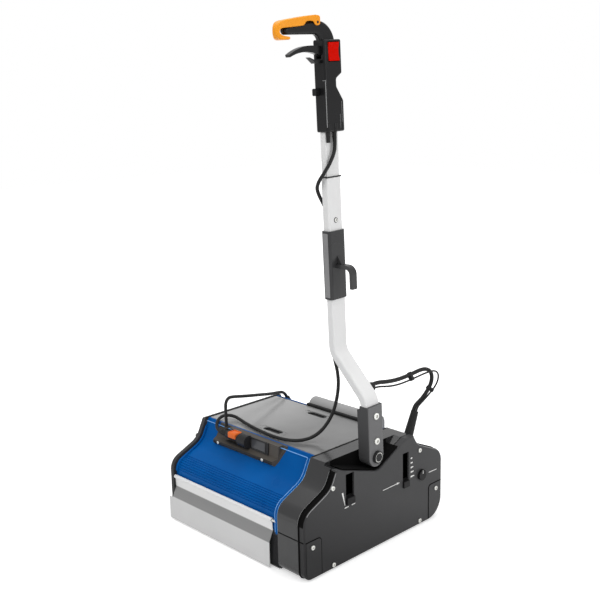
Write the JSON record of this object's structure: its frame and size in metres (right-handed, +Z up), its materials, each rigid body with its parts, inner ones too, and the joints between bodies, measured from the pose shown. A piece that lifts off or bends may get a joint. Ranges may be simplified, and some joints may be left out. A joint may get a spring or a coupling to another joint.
{
  "type": "walk-behind floor scrubber",
  "caption": "Walk-behind floor scrubber with contra-rotating brush rollers, splash visors, a tank lid and a tilting telescopic pole with a trigger head.",
  "frame": {"origin": "on the floor, under the middle of the machine's body", "axes": "+X to the drive side, which carries the pole, -Y to the front visor, +Z up"},
  "size_m": [0.448, 0.444, 1.0899],
  "materials": {
    "blue_plastic": "gloss",
    "black_panel": "gloss",
    "black_plastic": "satin",
    "grey_plastic": "matte",
    "white_plastic": "matte",
    "smoked_plastic": "gloss",
    "visor_sheet": "satin",
    "white_tube": "satin",
    "steel": "brushed",
    "aluminium": "satin",
    "rubber": "matte",
    "orange_plastic": "gloss",
    "red_plastic": "gloss",
    "bristle": "matte",
    "painted_motor": "satin"
  },
  "bodies": {
    "body": {"left_end_plate": "black_panel", "drive_housing": "black_panel", "housing_seal": "rubber", "drive_cover": "black_panel", "corner_plates": "black_plastic", "body_screws": "steel", "front_cover": "blue_plastic", "rear_cover": "blue_plastic", "rear_hood": "grey_plastic", "cross_bars": "aluminium", "recovery_tank": "white_plastic", "solution_tank": "white_plastic", "filler_cap": "black_plastic", "hinge_rods": "steel", "roller_bushes": "grey_plastic", "drive_belt": "rubber", "drive_motor": "painted_motor", "spray_bar": "aluminium", "floor_glides": "rubber", "pivot_bush": "steel", "connector_housing": "black_plastic", "power_socket": "black_plastic", "cable_plug": "orange_plastic", "cord_boots": "rubber", "cable_loop": "rubber", "cable_jumper": "rubber", "rear_hose": "rubber", "rear_wire": "rubber"},
    "lid": {"lid": "smoked_plastic"},
    "front_visor": {"front_visor": "visor_sheet"},
    "rear_visor": {"rear_visor": "visor_sheet"},
    "front_brush": {"front_brush_core": "white_plastic", "front_brush_bristles": "bristle", "front_brush_pulley": "aluminium"},
    "rear_brush": {"rear_brush_core": "white_plastic", "rear_brush_bristles": "bristle", "rear_brush_pulley": "aluminium"},
    "pickup_drum": {"pickup_drum": "grey_plastic"},
    "motor_pulley": {"motor_pulley": "steel"},
    "belt_tensioner": {"belt_tensioner": "grey_plastic"},
    "water_lever": {"water_lever": "black_plastic"},
    "pressure_lever": {"pressure_lever": "black_plastic"},
    "dial_knob": {"dial_knob": "black_plastic"},
    "handle": {"pivot_shaft": "steel", "pole_clevis": "black_plastic", "pole_fasteners": "steel", "lower_tube": "white_tube", "hook_sleeve": "black_plastic", "cable_run": "rubber", "pole_grommet": "rubber"},
    "pole_top": {"upper_tube": "white_tube", "head_shell_left": "black_plastic", "head_shell_right": "black_plastic", "head_pins": "steel", "cable_glands": "rubber", "cable_upper": "rubber"},
    "trigger": {"trigger": "black_plastic"},
    "safety_lever": {"safety_lever": "orange_plastic"},
    "power_rocker": {"power_rocker": "red_plastic"},
    "front_button": {"front_button": "black_plastic"}
  },
  "joints": [
    {"name": "handle_tilt", "type": "hinge", "parent": "body", "child": "handle", "pos_m": [0.19, 0.004, 0.204], "axis": [-1, 0, 0], "range_deg": [-60, 45], "deforming": ["cable_loop", "rear_hose", "rear_wire"]},
    {"name": "pole_telescope", "type": "slide", "parent": "handle", "child": "pole_top", "axis": [0, -0.0384, 0.9993], "range_m": [-0.075, 0], "deforming": ["cable_upper"]},
    {"name": "trigger_pull", "type": "hinge", "parent": "pole_top", "child": "trigger", "pos_m": [0.1205, -0.04339, 1.02078], "axis": [-1, 0, 0], "range_deg": [0, 7], "stiffness_Nm_per_rad": 0.6, "springref_deg": -8.59},
    {"name": "safety_press", "type": "hinge", "parent": "pole_top", "child": "safety_lever", "pos_m": [0.1205, -0.06253, 1.07609], "axis": [1, 0, 0], "range_deg": [0, 4.5], "stiffness_Nm_per_rad": 2, "springref_deg": -3.44},
    {"name": "power_rock", "type": "hinge", "parent": "pole_top", "child": "power_rocker", "pos_m": [0.129, -0.02544, 1.02247], "axis": [0, 0.9993, 0.0384], "range_deg": [-7, 7]},
    {"name": "button_push", "type": "slide", "parent": "pole_top", "child": "front_button", "axis": [0, 0.9993, 0.0384], "range_m": [0, 0.004], "stiffness_N_per_m": 400, "springref_m": -0.003},
    {"name": "water_slide", "type": "slide", "parent": "body", "child": "water_lever", "axis": [0, 0, 1], "range_m": [0, 0.0425]},
    {"name": "pressure_slide", "type": "slide", "parent": "body", "child": "pressure_lever", "axis": [0, 0, 1], "range_m": [0, 0.0638]},
    {"name": "dial_turn", "type": "hinge", "parent": "body", "child": "dial_knob", "pos_m": [0.218, 0.148, 0.12], "axis": [1, 0, 0], "range_deg": [0, 270]},
    {"name": "lid_open", "type": "hinge", "parent": "body", "child": "lid", "pos_m": [-0.033, 0.106, 0.2135], "axis": [-1, 0, 0], "range_deg": [0, 40], "deforming": ["cable_loop", "cable_jumper"]},
    {"name": "front_visor_swing", "type": "hinge", "parent": "body", "child": "front_visor", "pos_m": [-0.033, -0.207, 0.104], "axis": [-1, 0, 0], "range_deg": [0, 60]},
    {"name": "rear_visor_swing", "type": "hinge", "parent": "body", "child": "rear_visor", "pos_m": [-0.033, 0.217, 0.104], "axis": [1, 0, 0], "range_deg": [0, 60]},
    {"name": "rear_brush_spin", "type": "hinge", "parent": "body", "child": "rear_brush", "pos_m": [-0.033, 0.134, 0.058], "axis": [1, 0, 0], "continuous": true},
    {"name": "front_brush_spin", "type": "hinge", "parent": "body", "child": "front_brush", "pos_m": [-0.033, -0.134, 0.058], "axis": [1, 0, 0], "continuous": true},
    {"name": "drum_spin", "type": "hinge", "parent": "body", "child": "pickup_drum", "pos_m": [-0.033, 0, 0.072], "axis": [1, 0, 0], "continuous": true},
    {"name": "motor_spin", "type": "hinge", "parent": "body", "child": "motor_pulley", "pos_m": [0.155, 0.05, 0.122], "axis": [1, 0, 0], "continuous": true},
    {"name": "tensioner_spin", "type": "hinge", "parent": "body", "child": "belt_tensioner", "pos_m": [0.155, -0.184, 0.074], "axis": [1, 0, 0], "continuous": true}
  ],
  "couplings": [
    {"joint": "front_brush_spin", "follows": "rear_brush_spin", "ratio": -1},
    {"joint": "drum_spin", "follows": "rear_brush_spin", "ratio": 1},
    {"joint": "motor_spin", "follows": "rear_brush_spin", "ratio": 1.8784},
    {"joint": "tensioner_spin", "follows": "rear_brush_spin", "ratio": 2.0145}
  ]
}
